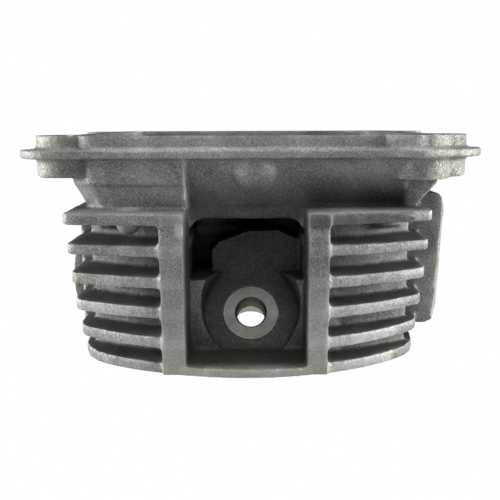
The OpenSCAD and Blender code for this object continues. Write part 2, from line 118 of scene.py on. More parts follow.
# A plug or cutter stands this far off a face that it would otherwise share
OFF_FACE = 0.02 * MM
FACING = 0.6  # a normal this far towards an axis counts as facing it
RGBA = {"data_type": "RGBA"}
WAVE_REPEAT = 0.314


# ---------- colour and node helpers ----------


def linear(hex_colour):
    """Turns an sRGB hex colour into the linear RGBA that shaders take."""
    values = [int(hex_colour[i : i + 2], 16) / 255 for i in (1, 3, 5)]
    curve = [v / 12.92 if v <= 0.04045 else ((v + 0.055) / 1.055) ** 2.4 for v in values]
    return (*curve, 1)


def add(tree, kind, settings=None, **inputs):
    """Adds a node, sets its properties, and fills or links each named input. An input's name
    may be its number after an underscore, and a node as a value means its first live output."""
    node = tree.nodes.new(kind)
    for key, value in (settings or {}).items():
        setattr(node, key, value)
    for key, value in inputs.items():
        socket = node.inputs[int(key[1:]) if key[1:].isdigit() else key.replace("_", " ")]
        if isinstance(value, bpy.types.Node):
            value = next(out for out in value.outputs if out.enabled)
        if isinstance(value, bpy.types.NodeSocket):
            tree.links.new(value, socket)
        else:
            socket.default_value = value
    return node


def new_material(name):
    """A material with an empty node tree, and the coordinates that its patterns use."""
    material = bpy.data.materials.new(name)
    material.use_nodes = True
    tree = material.node_tree
    tree.nodes.clear()
    return material, tree, add(tree, "ShaderNodeTexCoord").outputs["Object"]


# ---------- materials ----------


def cast_aluminium(look):
    """Sand-blasted aluminium casting: a dull warm grey skin with a fine grain whose pale tops are
    painted glints, faint clouds where the melt cooled unevenly, painted shade in the corners,
    creases and plug well, and paler edges and fronts, partly wear and partly painted light."""
    material, tree, place = new_material("cast_aluminium")
    clouds = add(tree, "ShaderNodeTexNoise", Vector=place, Scale=1 / (18 * MM), Detail=4.0)
    patches = add(tree, "ShaderNodeTexNoise", Vector=place, Scale=1 / (5 * MM), Detail=3.0)
    # Blast grain is about 0.3 mm on the real skin. It is drawn coarser, so that it shows.
    grain = add(
        tree,
        "ShaderNodeTexNoise",
        Vector=place,
        Scale=1 / (look.grain_mm * MM),
        Detail=4.0,
        Roughness=0.75,
    )
    pits = add(tree, "ShaderNodeTexVoronoi", Vector=place, Scale=1 / (1.5 * MM))
    ridge = add(tree, "ShaderNodeNewGeometry").outputs["Pointiness"]
    # painted shade: the AO node finds where the skin is sheltered, and the nook mask darkens it
    shelter = add(tree, "ShaderNodeAmbientOcclusion", {"samples": 4}, Distance=22 * MM)
    # painted shade in the plug well and at the foot of the neck, stored on the vertices
    shade_attribute = add(tree, "ShaderNodeAttribute", {"attribute_name": "painted_shade"}).outputs["Fac"]
    # painted light on low fronts, ribs and rim, painted highlights on the flash and lump, wear at the chip
    rubbed_and_lit = add(tree, "ShaderNodeAttribute", {"attribute_name": "rub_and_painted_light"}).outputs["Fac"]

    # Each mask runs from nothing at the first value of its pattern to its own strength at
    # the second.
    masks = {
        "cloud": (clouds, 0.3, 0.7, 1.0),
        "stain": (patches, 0.48, 0.75, 0.6),
        # pale grain tops: grain tone, partly painted glints
        "spark": (grain, 0.5, 0.76, 0.9),
        "pit": (grain, 0.47, 0.3, 0.7),
        # painted shade in recesses and between the fins, from the AO
        "nook": (shelter.outputs["AO"], 0.75, 0.1, 0.75),
        # painted shade in creases, where pointiness is low
        "groove": (ridge, 0.5, 0.4, 0.45),
        # paler on sharp convex edges: partly wear, partly painted highlights
        "edge": (ridge, 0.52, 0.62, 0.35),
    }
    mask = {
        name: add(tree, "ShaderNodeMapRange", _0=pattern, _1=none, _2=full, _3=0.0, _4=strength)
        for name, (pattern, none, full, strength) in masks.items()
    }
    minus = {"operation": "SUBTRACT", "use_clamp": True}
    # painted shade: the darker of the AO shade (less where painted light brightens) and the stored well and neck
    # shade
    nook_shade = add(tree, "ShaderNodeMath", minus, _0=mask["nook"], _1=rubbed_and_lit)
    painted_shade = add(tree, "ShaderNodeMath", {"operation": "MAXIMUM"}, _0=nook_shade, _1=shade_attribute)
    # the stored shade, the AO shade and the crease shade are painted shade; the rubbed and edge layers are partly
    # painted light
    layers = (
        (mask["cloud"], look.cast_light),
        (mask["stain"], look.cast_warm),
        (mask["spark"], look.cast_pale),
        (mask["pit"], look.cast_grime_and_shade),
        # painted light and painted highlights, with wear at the chip, in the pale colour
        (rubbed_and_lit, look.cast_pale),
        (painted_shade, look.cast_grime_and_shade),
        (mask["groove"], look.cast_grime_and_shade),
        (mask["edge"], look.cast_pale),
    )
    colour = look.cast_dark
    for amount, tint in layers:
        colour = add(tree, "ShaderNodeMix", RGBA, _0=amount, _6=colour, _7=tint).outputs[2]

    bumps = (
        (0.65, 0.22 * MM, grain),
        (0.35, 0.2 * MM, pits.outputs["Distance"]),
        (0.4, 0.7 * MM, patches),
    )
    relief = {}
    for strength, depth, pattern in bumps:
        bump = add(
            tree, "ShaderNodeBump", Strength=strength, Distance=depth, Height=pattern, **relief
        )
        relief = {"Normal": bump}
    shine = add(tree, "ShaderNodeMapRange", _0=grain, _1=0.3, _2=0.7, _3=0.78, _4=0.52)
    shader = add(
        tree,
        "ShaderNodeBsdfPrincipled",
        Base_Color=colour,
        Metallic=0.6,
        Roughness=shine,
        **relief,
    )
    add(tree, "ShaderNodeOutputMaterial", Surface=shader)
    return material


def machined_aluminium(look, name="machined_aluminium", axis=Matrix(), ring_depth=0.3):
    """Milled and bored aluminium: paler and smoother than the skin, with fine cutter rings
    that run round the cutter's own axis."""
    material, tree, place = new_material(name)
    place = add(
        tree,
        "ShaderNodeMapping",
        {"vector_type": "TEXTURE"},
        Vector=place,
        Location=axis.translation,
        Rotation=axis.to_euler(),
    )
    # Cutter marks are about 0.15 mm apart. They are drawn 0.9 mm apart, so that they show.
    # A wave texture repeats every 2 pi / 20 of its own length.
    marks = add(
        tree,
        "ShaderNodeTexWave",
        {"wave_type": "RINGS", "rings_direction": "Z"},
        Vector=place,
        Scale=WAVE_REPEAT / (0.9 * MM),
        Distortion=0.5,
        Detail=2.0,
    ).outputs["Fac"]
    haze = add(tree, "ShaderNodeTexNoise", Vector=place, Scale=1 / (7 * MM), Detail=4.0)
    haze_mix = add(tree, "ShaderNodeMapRange", _0=haze, _1=0.3, _2=0.7)
    bright = add(
        tree, "ShaderNodeMix", RGBA, _0=haze_mix, _6=look.machined_dark, _7=look.machined_light
    ).outputs[2]
    # painted shade on the machined faces in the plug well, such as the spot face
    shade_attribute = add(tree, "ShaderNodeAttribute", {"attribute_name": "painted_shade"}).outputs["Fac"]
    machined_shade = add(tree, "ShaderNodeMath", {"operation": "MULTIPLY"}, _0=shade_attribute, _1=0.7)
    colour = add(tree, "ShaderNodeMix", RGBA, _0=machined_shade, _6=bright, _7=look.cast_grime_and_shade).outputs[2]
    bump = add(tree, "ShaderNodeBump", Strength=ring_depth, Distance=0.05 * MM, Height=marks)
    shine = add(tree, "ShaderNodeMapRange", _0=haze, _1=0.3, _2=0.7, _3=0.34, _4=0.46)
    surface = {"Base_Color": colour, "Metallic": 1.0, "Roughness": shine, "Normal": bump}
    shader = add(tree, "ShaderNodeBsdfPrincipled", **surface)
    add(tree, "ShaderNodeOutputMaterial", Surface=shader)
    return material


def worked_metal(name, dark, light, smooth, dull, mark_mm, stretch=(1, 1, 1), depth_mm=0.04):
    """A turned, ground or pressed metal: two shades of one colour, with marks mark_mm wide
    that are squeezed along an axis by stretch, as the tool left them."""
    material, tree, place = new_material(name)
    pulled = add(tree, "ShaderNodeMapping", Vector=place, Scale=stretch)
    scale = 1 / (mark_mm * MM)
    marks = add(
        tree, "ShaderNodeTexNoise", Vector=pulled, Scale=scale, Detail=4.0, Roughness=0.65
    )
    haze = add(tree, "ShaderNodeTexNoise", Vector=place, Scale=1 / (5 * MM), Detail=4.0)
    haze_mix = add(tree, "ShaderNodeMapRange", _0=haze, _1=0.28, _2=0.72)
    pale = linear(light)
    tone = add(tree, "ShaderNodeMix", RGBA, _0=haze_mix, _6=linear(dark), _7=pale).outputs[2]
    scratches = add(tree, "ShaderNodeMapRange", _0=marks, _1=0.55, _2=0.8, _3=0.0, _4=0.5)
    colour = add(tree, "ShaderNodeMix", RGBA, _0=scratches, _6=tone, _7=pale).outputs[2]
    bump = add(tree, "ShaderNodeBump", Strength=0.35, Distance=depth_mm * MM, Height=marks)
    shine = add(tree, "ShaderNodeMapRange", _0=marks, _1=0.3, _2=0.7, _3=smooth, _4=dull)
    surface = {"Base_Color": colour, "Metallic": 1.0, "Roughness": shine, "Normal": bump}
    shader = add(tree, "ShaderNodeBsdfPrincipled", **surface)
    add(tree, "ShaderNodeOutputMaterial", Surface=shader)
    return material


def valve_steel():
    """Ground stainless valve steel: near mirror along the stem, faint rings round it."""
    return worked_metal("valve_steel", "#8f8d8a", "#c2c1bd", 0.16, 0.34, 0.5, (1, 1, 4), 0.02)


def spring_steel():
    """Oil-tempered spring wire: dark, smooth, with a slight blue-grey sheen."""
    return worked_metal("spring_steel", "#3a3c41", "#686b72", 0.24, 0.42, 1.0)


def sintered_iron():
    """Sintered valve-seat iron, ground: mid grey and faintly porous."""
    return worked_metal("sintered_iron", "#66635f", "#8d8a85", 0.3, 0.5, 0.4, depth_mm=0.06)


def guide_bronze():
    """Turned valve-guide bronze: dull yellow brown with fine rings."""
    return worked_metal("guide_bronze", "#856a38", "#b8975c", 0.26, 0.44, 0.5, (1, 1, 5))


def hardened_steel():
    """Case-hardened rocker steel: brown-grey from the heat, satin, slightly uneven."""
    return worked_metal("hardened_steel", "#544f4a", "#8c8680", 0.3, 0.52, 1.3, depth_mm=0.12)


def pressed_steel():
    """Cold-rolled strip, pressed to shape: pale grey, drawn along its length."""
    return worked_metal("pressed_steel", "#868684", "#b0b0ac", 0.26, 0.42, 0.6, (0.25, 1, 1))


def plated_steel():
    """Zinc-plated turned steel: bright, slightly clouded."""
    return worked_metal("plated_steel", "#94969a", "#c6c7c2", 0.2, 0.36, 0.8)


def seal_rubber():
    """Moulded fluoro-rubber: near black, even, with a soft sheen and a fine orange-peel."""
    material, tree, place = new_material("seal_rubber")
    grain = add(tree, "ShaderNodeTexNoise", Vector=place, Scale=1 / (0.7 * MM), Detail=3.0)
    dark, light = linear("#1a1615"), linear("#3a312d")
    colour = add(tree, "ShaderNodeMix", RGBA, _0=grain, _6=dark, _7=light).outputs[2]
    bump = add(tree, "ShaderNodeBump", Strength=0.25, Distance=0.05 * MM, Height=grain)
    shine = add(tree, "ShaderNodeMapRange", _0=grain, _1=0.3, _2=0.7, _3=0.45, _4=0.65)
    surface = {"Base_Color": colour, "Roughness": shine, "Normal": bump}
    shader = add(tree, "ShaderNodeBsdfPrincipled", **surface)
    add(tree, "ShaderNodeOutputMaterial", Surface=shader)
    return material


# ---------- mesh helpers ----------


def new_object(name, mesh):
    """Links a mesh to the scene."""
    made = bpy.data.objects.new(name, mesh)
    bpy.context.scene.collection.objects.link(made)
    return made


def new_piece(name, mesh, body, slot, *materials):
    """A visible piece that rides on a body and takes the given materials. Its slot is not used."""
    piece = new_object(name, mesh)
    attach(piece, body)
    mesh.materials.clear()
    for material in materials:
        mesh.materials.append(material)
    return piece


def mesh_of(work, name):
    """Turns finished bmesh work into a mesh whose faces look outwards."""
    bmesh.ops.recalc_face_normals(work, faces=work.faces)
    mesh = bpy.data.meshes.new(name)
    work.to_mesh(mesh)
    work.free()
    return mesh


def welded_copy(node):
    """A CAD node's mesh with its split corners joined again."""
    mesh = frame["nodes"][node].data.copy()
    mesh.materials.clear()
    work = bmesh.new()
    work.from_mesh(mesh)
    bmesh.ops.remove_doubles(work, verts=work.verts, dist=0.002 * MM)
    work.to_mesh(mesh)
    work.free()
    return mesh


def apply_modifiers(piece):
    """Replaces a piece's mesh with the result of its modifiers."""
    depsgraph = bpy.context.evaluated_depsgraph_get()
    made = bpy.data.meshes.new_from_object(piece.evaluated_get(depsgraph))
    piece.modifiers.clear()
    old = piece.data
    piece.data = made
    bpy.data.meshes.remove(old)


def moulded_skin(piece, voxel, rounds):
    """Rounds every edge, as a mould or a forge leaves it."""
    remesh = piece.modifiers.new("skin", "REMESH")
    remesh.mode = "VOXEL"
    remesh.voxel_size = voxel
    smooth = piece.modifiers.new("rounding", "SMOOTH")
    smooth.factor = 0.5
    smooth.iterations = rounds
    apply_modifiers(piece)


def thin_out(piece, faces):
    """Keeps about that many triangles, most of them along the edges."""
    triangles = sum(len(p.vertices) - 2 for p in piece.data.polygons)
    if triangles > faces:
        thin = piece.modifiers.new("thinning", "DECIMATE")
        thin.ratio = faces / triangles
        apply_modifiers(piece)


def combine(piece, tool_mesh, operation):
    """Joins a closed tool mesh to the piece, or cuts it out of the piece."""
    tool = new_object("tool", tool_mesh)
    step = piece.modifiers.new("tool", "BOOLEAN")
    step.operation = operation
    step.solver = "MANIFOLD"
    step.object = tool
    apply_modifiers(piece)
    bpy.data.objects.remove(tool)


def vectors_of(items, name):
    """One three-part value of every vertex or face, as rows of an array."""
    flat = np.empty(len(items) * 3)
    items.foreach_get(name, flat)
    return flat.reshape(-1, 3)


def set_points(mesh, points):
    """Writes the mesh's vertices back."""
    mesh.vertices.foreach_set("co", points.ravel())
    mesh.update()


def shade(mesh, angle=math.radians(38)):
    """Smooth shading with sharp edges where faces meet at more than angle."""
    mesh.shade_smooth()
    mesh.set_sharp_from_angle(angle=angle)


def rows_of_faces(work, rings, closed=False):
    """Skins rings of vertices, one after the other. A ring of one vertex is a point."""
    pairs = list(zip(rings, rings[1:]))
    if closed:
        pairs.append((rings[-1], rings[0]))
    for low, high in pairs:
        for i in range(max(len(low), len(high))):
            j = i + 1
            below = [low[i % len(low)], low[j % len(low)]]
            above = [high[j % len(high)], high[i % len(high)]]
            unique = list(dict.fromkeys(below + above))
            if len(unique) > 2:
                work.faces.new(unique)


def lathe(profile, matrix=Matrix(), segments=64, closed=False, work=None):
    """Turns a profile of (radius, height) about Z. An open profile ends on the axis."""
    alone = work is None
    work = work or bmesh.new()
    rings = []
    for radius, height in profile:
        count = 1 if radius == 0 else segments
        spots = [2 * math.pi * i / segments for i in range(count)]
        ring = [Vector((radius * math.cos(a), radius * math.sin(a), height)) for a in spots]
        rings.append([work.verts.new(matrix @ spot) for spot in ring])
    rows_of_faces(work, rings, closed)
    return mesh_of(work, "turned") if alone else None


def thread_profile(crest, depth, start, end, pitch):
    """The ridges of a thread between two heights, as a profile's points."""
    turns = max(2, round(abs(end - start) / pitch))
    step = (end - start) / turns
    ridges = []
    for i in range(turns):
        ridges.append((crest, start + (i + 0.2) * step))
        ridges.append((crest, start + (i + 0.35) * step))
        ridges.append((crest - depth, start + (i + 0.75) * step))
        ridges.append((crest - depth, start + (i + 0.85) * step))
    return ridges


def hex_nut(centre, across, low, high, bore, pitch, work):
    """A chamfered hexagon nut with a threaded bore, added to bmesh work."""
    segments, lead_in, thread_depth = 72, 0.5 * MM, 0.4 * MM
    corner = across / math.sqrt(3)
    chamfer_r = across / 2 * 1.01
    bevel = 0.14 * (high - low)
    turns = [2 * math.pi * i / segments for i in range(segments)]
    flats = [across / 2 / math.cos(turn % (math.pi / 3) - math.pi / 6) for turn in turns]
    outer = [(chamfer_r, low), (corner, low + bevel), (corner, high - bevel), (chamfer_r, high)]
    inner = [(bore + lead_in, high), (bore, high - lead_in)]
    inner += thread_profile(bore, -thread_depth, high - lead_in, low + lead_in, pitch)
    inner += [(bore, low + lead_in), (bore + lead_in, low)]
    rows = [([min(flat, limit) for flat in flats], height) for limit, height in outer]
    rows += [([radius] * segments, height) for radius, height in inner]
    rings = []
    for radii, height in rows:
        spots = [(r * math.cos(turn), r * math.sin(turn)) for r, turn in zip(radii, turns)]
        rings.append([work.verts.new((centre.x + x, centre.y + y, height)) for x, y in spots])
    rows_of_faces(work, rings, closed=True)


def softened(node, width):
    """A CAD node's mesh whose sharp edges are broken by a fine chamfer."""
    mesh = welded_copy(node)
    work = bmesh.new()
    work.from_mesh(mesh)
    bmesh.ops.dissolve_limit(
        work, angle_limit=math.radians(0.4), verts=work.verts, edges=work.edges, delimit={"NORMAL"}
    )
    sharp = [e for e in work.edges if e.is_manifold and e.calc_face_angle() > math.radians(28)]
    bmesh.ops.bevel(
        work,
        geom=sharp,
        offset=width,
        offset_type="OFFSET",
        segments=2,
        profile=0.5,
        affect="EDGES",
        clamp_overlap=True,
    )
    bmesh.ops.triangulate(work, faces=[f for f in work.faces if len(f.verts) > 4])
    return mesh_of(work, node)


def stand_in(node, name, mesh, material):
    """A detailed piece in place of a CAD node, on the same body."""
    piece = new_piece(name, mesh, BODY_OF[node], SLOT_OF[node], material)
    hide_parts(node)
    return piece


# ---------- the casting ----------


def plug_axis():
    """A matrix whose +Z leaves the spark-plug hole, with its origin on the boss's face."""
    mount = MOUNTS["spark_plug_hole"]
    chamfer_mm = 0.5
    out = Vector(mount["axis"]).normalized()
    mouth = Vector(mount["pos_m"]) + out * (mount["dims"]["length_mm"] / 2 + chamfer_mm) * MM
    turn = Vector((0, 0, 1)).rotation_difference(out).to_matrix().to_4x4()
    return Matrix.Translation(mouth) @ turn


def pattern_places(name):
    """The middle of each hole of a four-bolt pattern, on its face."""
    mount = MOUNTS[name]
    x, y, z = mount["pos_m"]
    half_x = mount["dims"]["spacing_x_mm"] * MM / 2
    half_y = mount["dims"]["spacing_y_mm"] * MM / 2
    return [Vector((x + sx * half_x, y + sy * half_y, z)) for sx in (-1, 1) for sy in (-1, 1)]


def plug_hole():
    """The spark-plug hole: a spot face, a threaded bore with a chamfer, and a wider end."""
    hole_r = MOUNTS["spark_plug_hole"]["dims"]["r_mm"] * MM
    spot_r, spot_z, above = 12.4 * MM, -0.4 * MM, 8 * MM
    reach, wide_r, through = 12.7 * MM, hole_r + 1.25 * MM, 24 * MM
    lip_r, lip, fill_r, fill_depth = spot_r + 0.6 * MM, MM, hole_r + 0.8 * MM, 8 * MM
    mouth_r, throat_r, chamfer = hole_r + 0.9 * MM, hole_r + 0.1 * MM, 0.9 * MM
    root_r, thread_depth = hole_r + 0.7 * MM, 0.62 * MM
    plug = [(0, -OFF_FACE), (lip_r, -OFF_FACE), (lip_r, -lip), (fill_r, -lip)]
    plug += [(fill_r, -fill_depth), (0, -fill_depth)]
    cutter = [(0, above), (spot_r, above), (spot_r, spot_z), (mouth_r, spot_z)]
    cutter += [(throat_r, spot_z - chamfer)]
    cutter += thread_profile(root_r, thread_depth, spot_z - MM, -reach, PLUG_PITCH * MM)
    cutter += [(wide_r, -reach), (wide_r, -through), (0, -through)]
    return plug_axis(), plug, cutter


def bolt_hole(place):
    """A plain hole for a head bolt, up from the gasket face to the sunk seat of its head."""
    radius = MOUNTS["head_bolts"]["dims"]["hole_r_mm"] * MM
    sink_z, sink_r, sink = COVER_Z - 33 * MM, 9.5 * MM, 12 * MM
    fill_r, chamfer = radius + 0.8 * MM, 0.5 * MM
    seat = GASKET_Z - sink_z
    plug = [(0, -OFF_FACE), (fill_r, -OFF_FACE), (fill_r, seat + OFF_FACE), (0, seat + OFF_FACE)]
    cutter = [(0, MM), (radius + chamfer, MM), (radius + chamfer, 0), (radius, -chamfer)]
    cutter += [(radius, seat), (sink_r, seat), (sink_r, seat - sink), (0, seat - sink)]
    return Matrix.Translation(place) @ Matrix.Rotation(math.pi, 4, "X"), plug, cutter


def tapped_hole(matrix, radius_mm, depth_mm, pitch_mm):
    """A blind tapped hole with a chamfered mouth and the drill's cone at its end."""
    radius, depth = radius_mm * MM, depth_mm * MM
    fill_r, fill_depth = radius + 0.7 * MM, depth * 0.8
    root = radius + 0.55 * pitch_mm * MM
    mouth_r, throat_r, chamfer = root + 0.3 * MM, radius + 0.05 * MM, 0.7 * MM
    first, last, drilled = 0.8 * MM, depth * 0.85, depth * 0.9
    plug = [(0, -OFF_FACE), (fill_r, -OFF_FACE), (fill_r, -fill_depth), (0, -fill_depth)]
    cutter = [(0, MM), (mouth_r, MM), (mouth_r, 0), (throat_r, -chamfer)]
    cutter += thread_profile(root, root - radius, -first, -last, pitch_mm * MM)
    cutter += [(radius, -drilled), (radius, -depth), (0, -depth - 0.3 * radius)]
    return matrix, plug, cutter


def drilled_holes():
    """Every machined hole as (matrix, plug profile, cutter profile). Each matrix has +Z out of
    the hole's mouth. The plug fills the rough hole, and the cutter then drills it clean."""
    holes = [plug_hole()]
    holes += [bolt_hole(place) for place in pattern_places("head_bolts")]
    cover_r = MOUNTS["cover_bolts"]["dims"]["hole_r_mm"]
    for place in pattern_places("cover_bolts"):
        holes.append(tapped_hole(Matrix.Translation(place), cover_r, COVER_DEPTH, M6_PITCH))
    for side, turn, depth in (("intake", -1, INTAKE_DEPTH), ("exhaust", 1, EXHAUST_DEPTH)):
        mount = MOUNTS[f"{side}_port_bolts"]
        face = Matrix.Rotation(turn * math.pi / 2, 4, "Y")
        half = mount["dims"]["spacing_x_mm"] * MM / 2
        for s in (-1, 1):
            where = Matrix.Translation(Vector(mount["pos_m"]) + Vector((0, s * half, 0))) @ face
            holes.append(tapped_hole(where, mount["dims"]["hole_r_mm"], depth, M8_PITCH))
    return holes


def tool_of(holes, which):
    """One closed mesh of every hole's plug or cutter."""
    work = bmesh.new()
    for hole in holes:
        lathe(hole[which], hole[0], 56, work=work)
    return mesh_of(work, "tool")


def ramp(values, start, end):
    """0 at start, 1 at end and beyond."""
    return np.clip((values - start) / (end - start), 0, 1)


def on_ribs(x):
    """Which places are on the well's two side walls."""
    left = (x > WELL_X0 - LEFT_RIB) & (x < WELL_X0)
    return left | ((x > WELL_X1) & (x < WELL_X1 + RIGHT_RIB))


def bell(values, middle, width):
    """1 at the middle, falling smoothly to nothing a few widths away."""
    return np.exp(-(((values - middle) / width) ** 2))


def fin_bands(z):
    """1 at the height of a fin and 0 between the fins."""
    soft = 0.4 * MM
    band = np.zeros(len(z))
    for level in range(FIN_COUNT):
        top = TOP_FIN_Z - level * FIN_PITCH
        low = top - FIN_T
        band += ramp(z, low - soft, low + soft) * ramp(z, top + soft, top - soft)
    return band


def weather_skin(mesh, look):
    """Gives the smooth skin what a mould leaves: slight waves, seams and flash."""
    points = vectors_of(mesh.vertices, "co")
    normals = vectors_of(mesh.vertices, "normal")
    x, y, z = points.T
    to_front = normals[:, 1] < -FACING
    broad = np.array([noise.noise(Vector(p) / BROAD_WAVE) for p in points])
    close = np.array([noise.noise(Vector(p) / CLOSE_WAVE) for p in points])
    shift = broad * look.wave_mm * MM + close * look.ripple_mm * MM

    # seams of the mould's slides, across the front of the exhaust block
    block = (x > BLOCK_X0) & (y < BLOCK_Y) & to_front
    for level in SEAM_LEVELS:
        shift += block * bell(z, level, 0.55 * MM) * 0.28 * MM

    # the fins' fronts carry on across the ribs, a little proud of them
    front = (y < FRONT_Y + 5 * MM) & to_front
    shift += front * on_ribs(x) * fin_bands(z) * 0.3 * MM

    # ragged flash down the edge between the neck and the recess under the flange
    flash_x, flash_w = WELL_X0 - 0.5 * MM, 0.7 * MM
    on_edge = (z > TOP_FIN_Z) & (z < RECESS_Z) & (y < RECESS_Y)
    on_edge &= np.abs(x - flash_x) < 3 * flash_w
    ragged = 0.3 + 0.7 * np.clip(close * 2.5 + 0.4, 0, 1)
    shift += on_edge * bell(x, flash_x, flash_w) * ragged * 0.7 * MM

    points += normals * shift[:, None]

    # a chip on the corner of the left rib, taller than it is wide
    chip_size = np.array((1.0, 1.0, 1.8)) * CHIP_R
    away = np.linalg.norm((points - np.array(CHIP)) / chip_size, axis=1)
    points[:, 1] += np.clip(1 - away, 0, 1) * 1.5 * MM
    set_points(mesh, points)


def mill_flat(mesh, axis, level, reach):
    """Brings the skin within reach of a level to that level, as a milling cut does."""
    points = vectors_of(mesh.vertices, "co")
    near = np.abs(points[:, axis] - level) < reach
    points[near, axis] = level
    set_points(mesh, points)


def milled_planes():
    """The planes that a cutter has faced, as (axis, level)."""
    ends = [(0, MOUNTS[f"{side}_port_face"]["pos_m"][0]) for side in SIDES]
    return [(2, GASKET_Z), (2, COVER_Z), *ends]


def machined_faces(mesh, holes):
    """The finish of each face: 0 as cast, 1 faced or drilled, 2 cut round the plug's axis."""
    centres = vectors_of(mesh.polygons, "center")
    normals = vectors_of(mesh.polygons, "normal")
    finish = np.zeros(len(centres), np.int32)
    close, square_on, above = 0.05 * MM, 0.95, 0.3 * MM
    for axis, level in milled_planes():
        at_level = np.abs(centres[:, axis] - level) < close
        finish[at_level & (np.abs(normals[:, axis]) > square_on)] = 1
    for number, (matrix, _, cutter) in enumerate(holes):
        inverse = np.array(matrix.inverted())
        local = centres @ inverse[:3, :3].T + inverse[:3, 3]
        radius = np.hypot(local[:, 0], local[:, 1])
        height = local[:, 2]
        limit = np.full(len(centres), -1.0)
        for (r0, z0), (r1, z1) in zip(cutter, cutter[1:]):
            inside = (height >= min(z0, z1) - close) & (height <= max(z0, z1) + close)
            limit = np.where(inside, np.maximum(limit, max(r0, r1) + close), limit)
        deepest = min(z for _, z in cutter)
        cut = (radius < limit) & (height > deepest) & (height < above)
        finish[cut] = 1 if number else 2
    return finish


def well_and_neck_shade(points, normals):
    """How strongly painted shade darkens each vertex: in the well, but not in its hole, and at
    the foot of the neck's front."""
    x, y, z = points.T
    in_well = (x > WELL_X0 - 0.5 * MM) & (x < WELL_X1 + 0.5 * MM) & (z < TOP_FIN_Z - 3 * MM)
    inside = ramp(y, FRONT_Y + 1 * MM, FRONT_Y + 9 * MM) * (y < 0)
    facing_up = ramp(normals[:, 2], 0.1, 0.6) * 0.85
    sideways = ramp(np.abs(normals[:, 0]), 0.5, 0.9) * 0.4
    far_in = ramp(y, WELL_BACK_Y, WELL_BACK_Y + 6 * MM) * 0.75
    painted_shade = in_well * inside * np.maximum(np.maximum(facing_up, sideways), far_in)

    inverse = np.array(plug_axis().inverted())
    local = points @ inverse[:3, :3].T + inverse[:3, 3]
    in_bore = (np.hypot(local[:, 0], local[:, 1]) < 9 * MM) & (local[:, 2] < -0.6 * MM)
    painted_shade[in_bore & (local[:, 2] > -26 * MM)] = 0

    # painted shade at the foot of the neck's front, darker towards the bottom
    on_neck = (x > WELL_X0) & (x < NECK_X1) & (y < NECK_Y) & (z > TOP_FIN_Z - 6 * MM)
    foot = ramp(z, TOP_FIN_Z + 12 * MM, TOP_FIN_Z + 2 * MM) * 0.65
    return np.maximum(painted_shade, on_neck * ramp(-normals[:, 1], 0.3, 0.7) * foot)


def rubbed_and_lit_bright(points, normals):
    """How much each vertex is painted paler: painted light on the low fins' fronts, the ribs and
    the rim, painted highlights on the proud flash and lump, and wear at the chip."""
    x, y, z = points.T
    in_well = (x > WELL_X0 - 0.5 * MM) & (x < WELL_X1 + 0.5 * MM) & (z < TOP_FIN_Z - 3 * MM)
    # painted light: the low fronts paler, as more light falls on them
    low = ramp(z, 48 * MM, 8 * MM) * np.where(x < WELL_X0 - 10 * MM, 0.12, 0.5)
    rim = ramp(z, COVER_Z - 10 * MM, COVER_Z - 8 * MM) * 0.1
    low = low + on_ribs(x) * fin_bands(z) * 0.12
    outside = (y < -50 * MM) & ~(in_well & (y > FRONT_Y + 6 * MM))
    faces = ramp(-normals[:, 1], 0.3, 0.7) * np.maximum(low, rim) * outside
    flash = (np.abs(x - WELL_X0) < 0.9 * MM) & (y < -44 * MM)
    flash = flash & (z > TOP_FIN_Z) & (z < COVER_Z - 9 * MM)
    lump = np.linalg.norm(points - np.array(LUMP), axis=1) < LUMP_R
    chip = np.linalg.norm(points - np.array(CHIP), axis=1) < CHIP_R
    return np.maximum.reduce([faces, flash * 0.5, lump * 0.6, chip * 0.8])


def mark_shade_and_light(mesh):
    """Marks where painted shade darkens the skin, and where painted light and wear make it paler."""
    points = vectors_of(mesh.vertices, "co")
    normals = vectors_of(mesh.vertices, "normal")
    for name, values_of in (("painted_shade", well_and_neck_shade), ("rub_and_painted_light", rubbed_and_lit_bright)):
        layer = mesh.attributes.new(name, "FLOAT", "POINT")
        layer.data.foreach_set("value", values_of(points, normals).astype(np.float32))


def build_casting(look):
    """The finned casting: a rounded, slightly uneven skin with crisp machined faces."""
    piece = new_object("cast_head", welded_copy("head_casting"))
    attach(piece, HEAD)
    holes = drilled_holes()
    combine(piece, tool_of(holes, 1), "UNION")
    voxel_mm, faces = ((look.skin_voxel, 140000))
    moulded_skin(piece, voxel_mm * MM, look.skin_rounds)
    weather_skin(piece.data, look)
    thin_out(piece, faces)
    for axis, level in milled_planes():
        mill_flat(piece.data, axis, level, MILLED)
    combine(piece, tool_of(holes, 2), "DIFFERENCE")
    mesh = piece.data
    mark_shade_and_light(mesh)
    mesh.materials.clear()
    mesh.materials.append(cast_aluminium(look))
    mesh.materials.append(machined_aluminium(look))
    mesh.materials.append(machined_aluminium(look, "spot_faced_aluminium", plug_axis(), 0.9))
    mesh.polygons.foreach_set("material_index", machined_faces(mesh, holes))
    shade(mesh)
    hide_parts("head_casting")


# ---------- the valve gear ----------


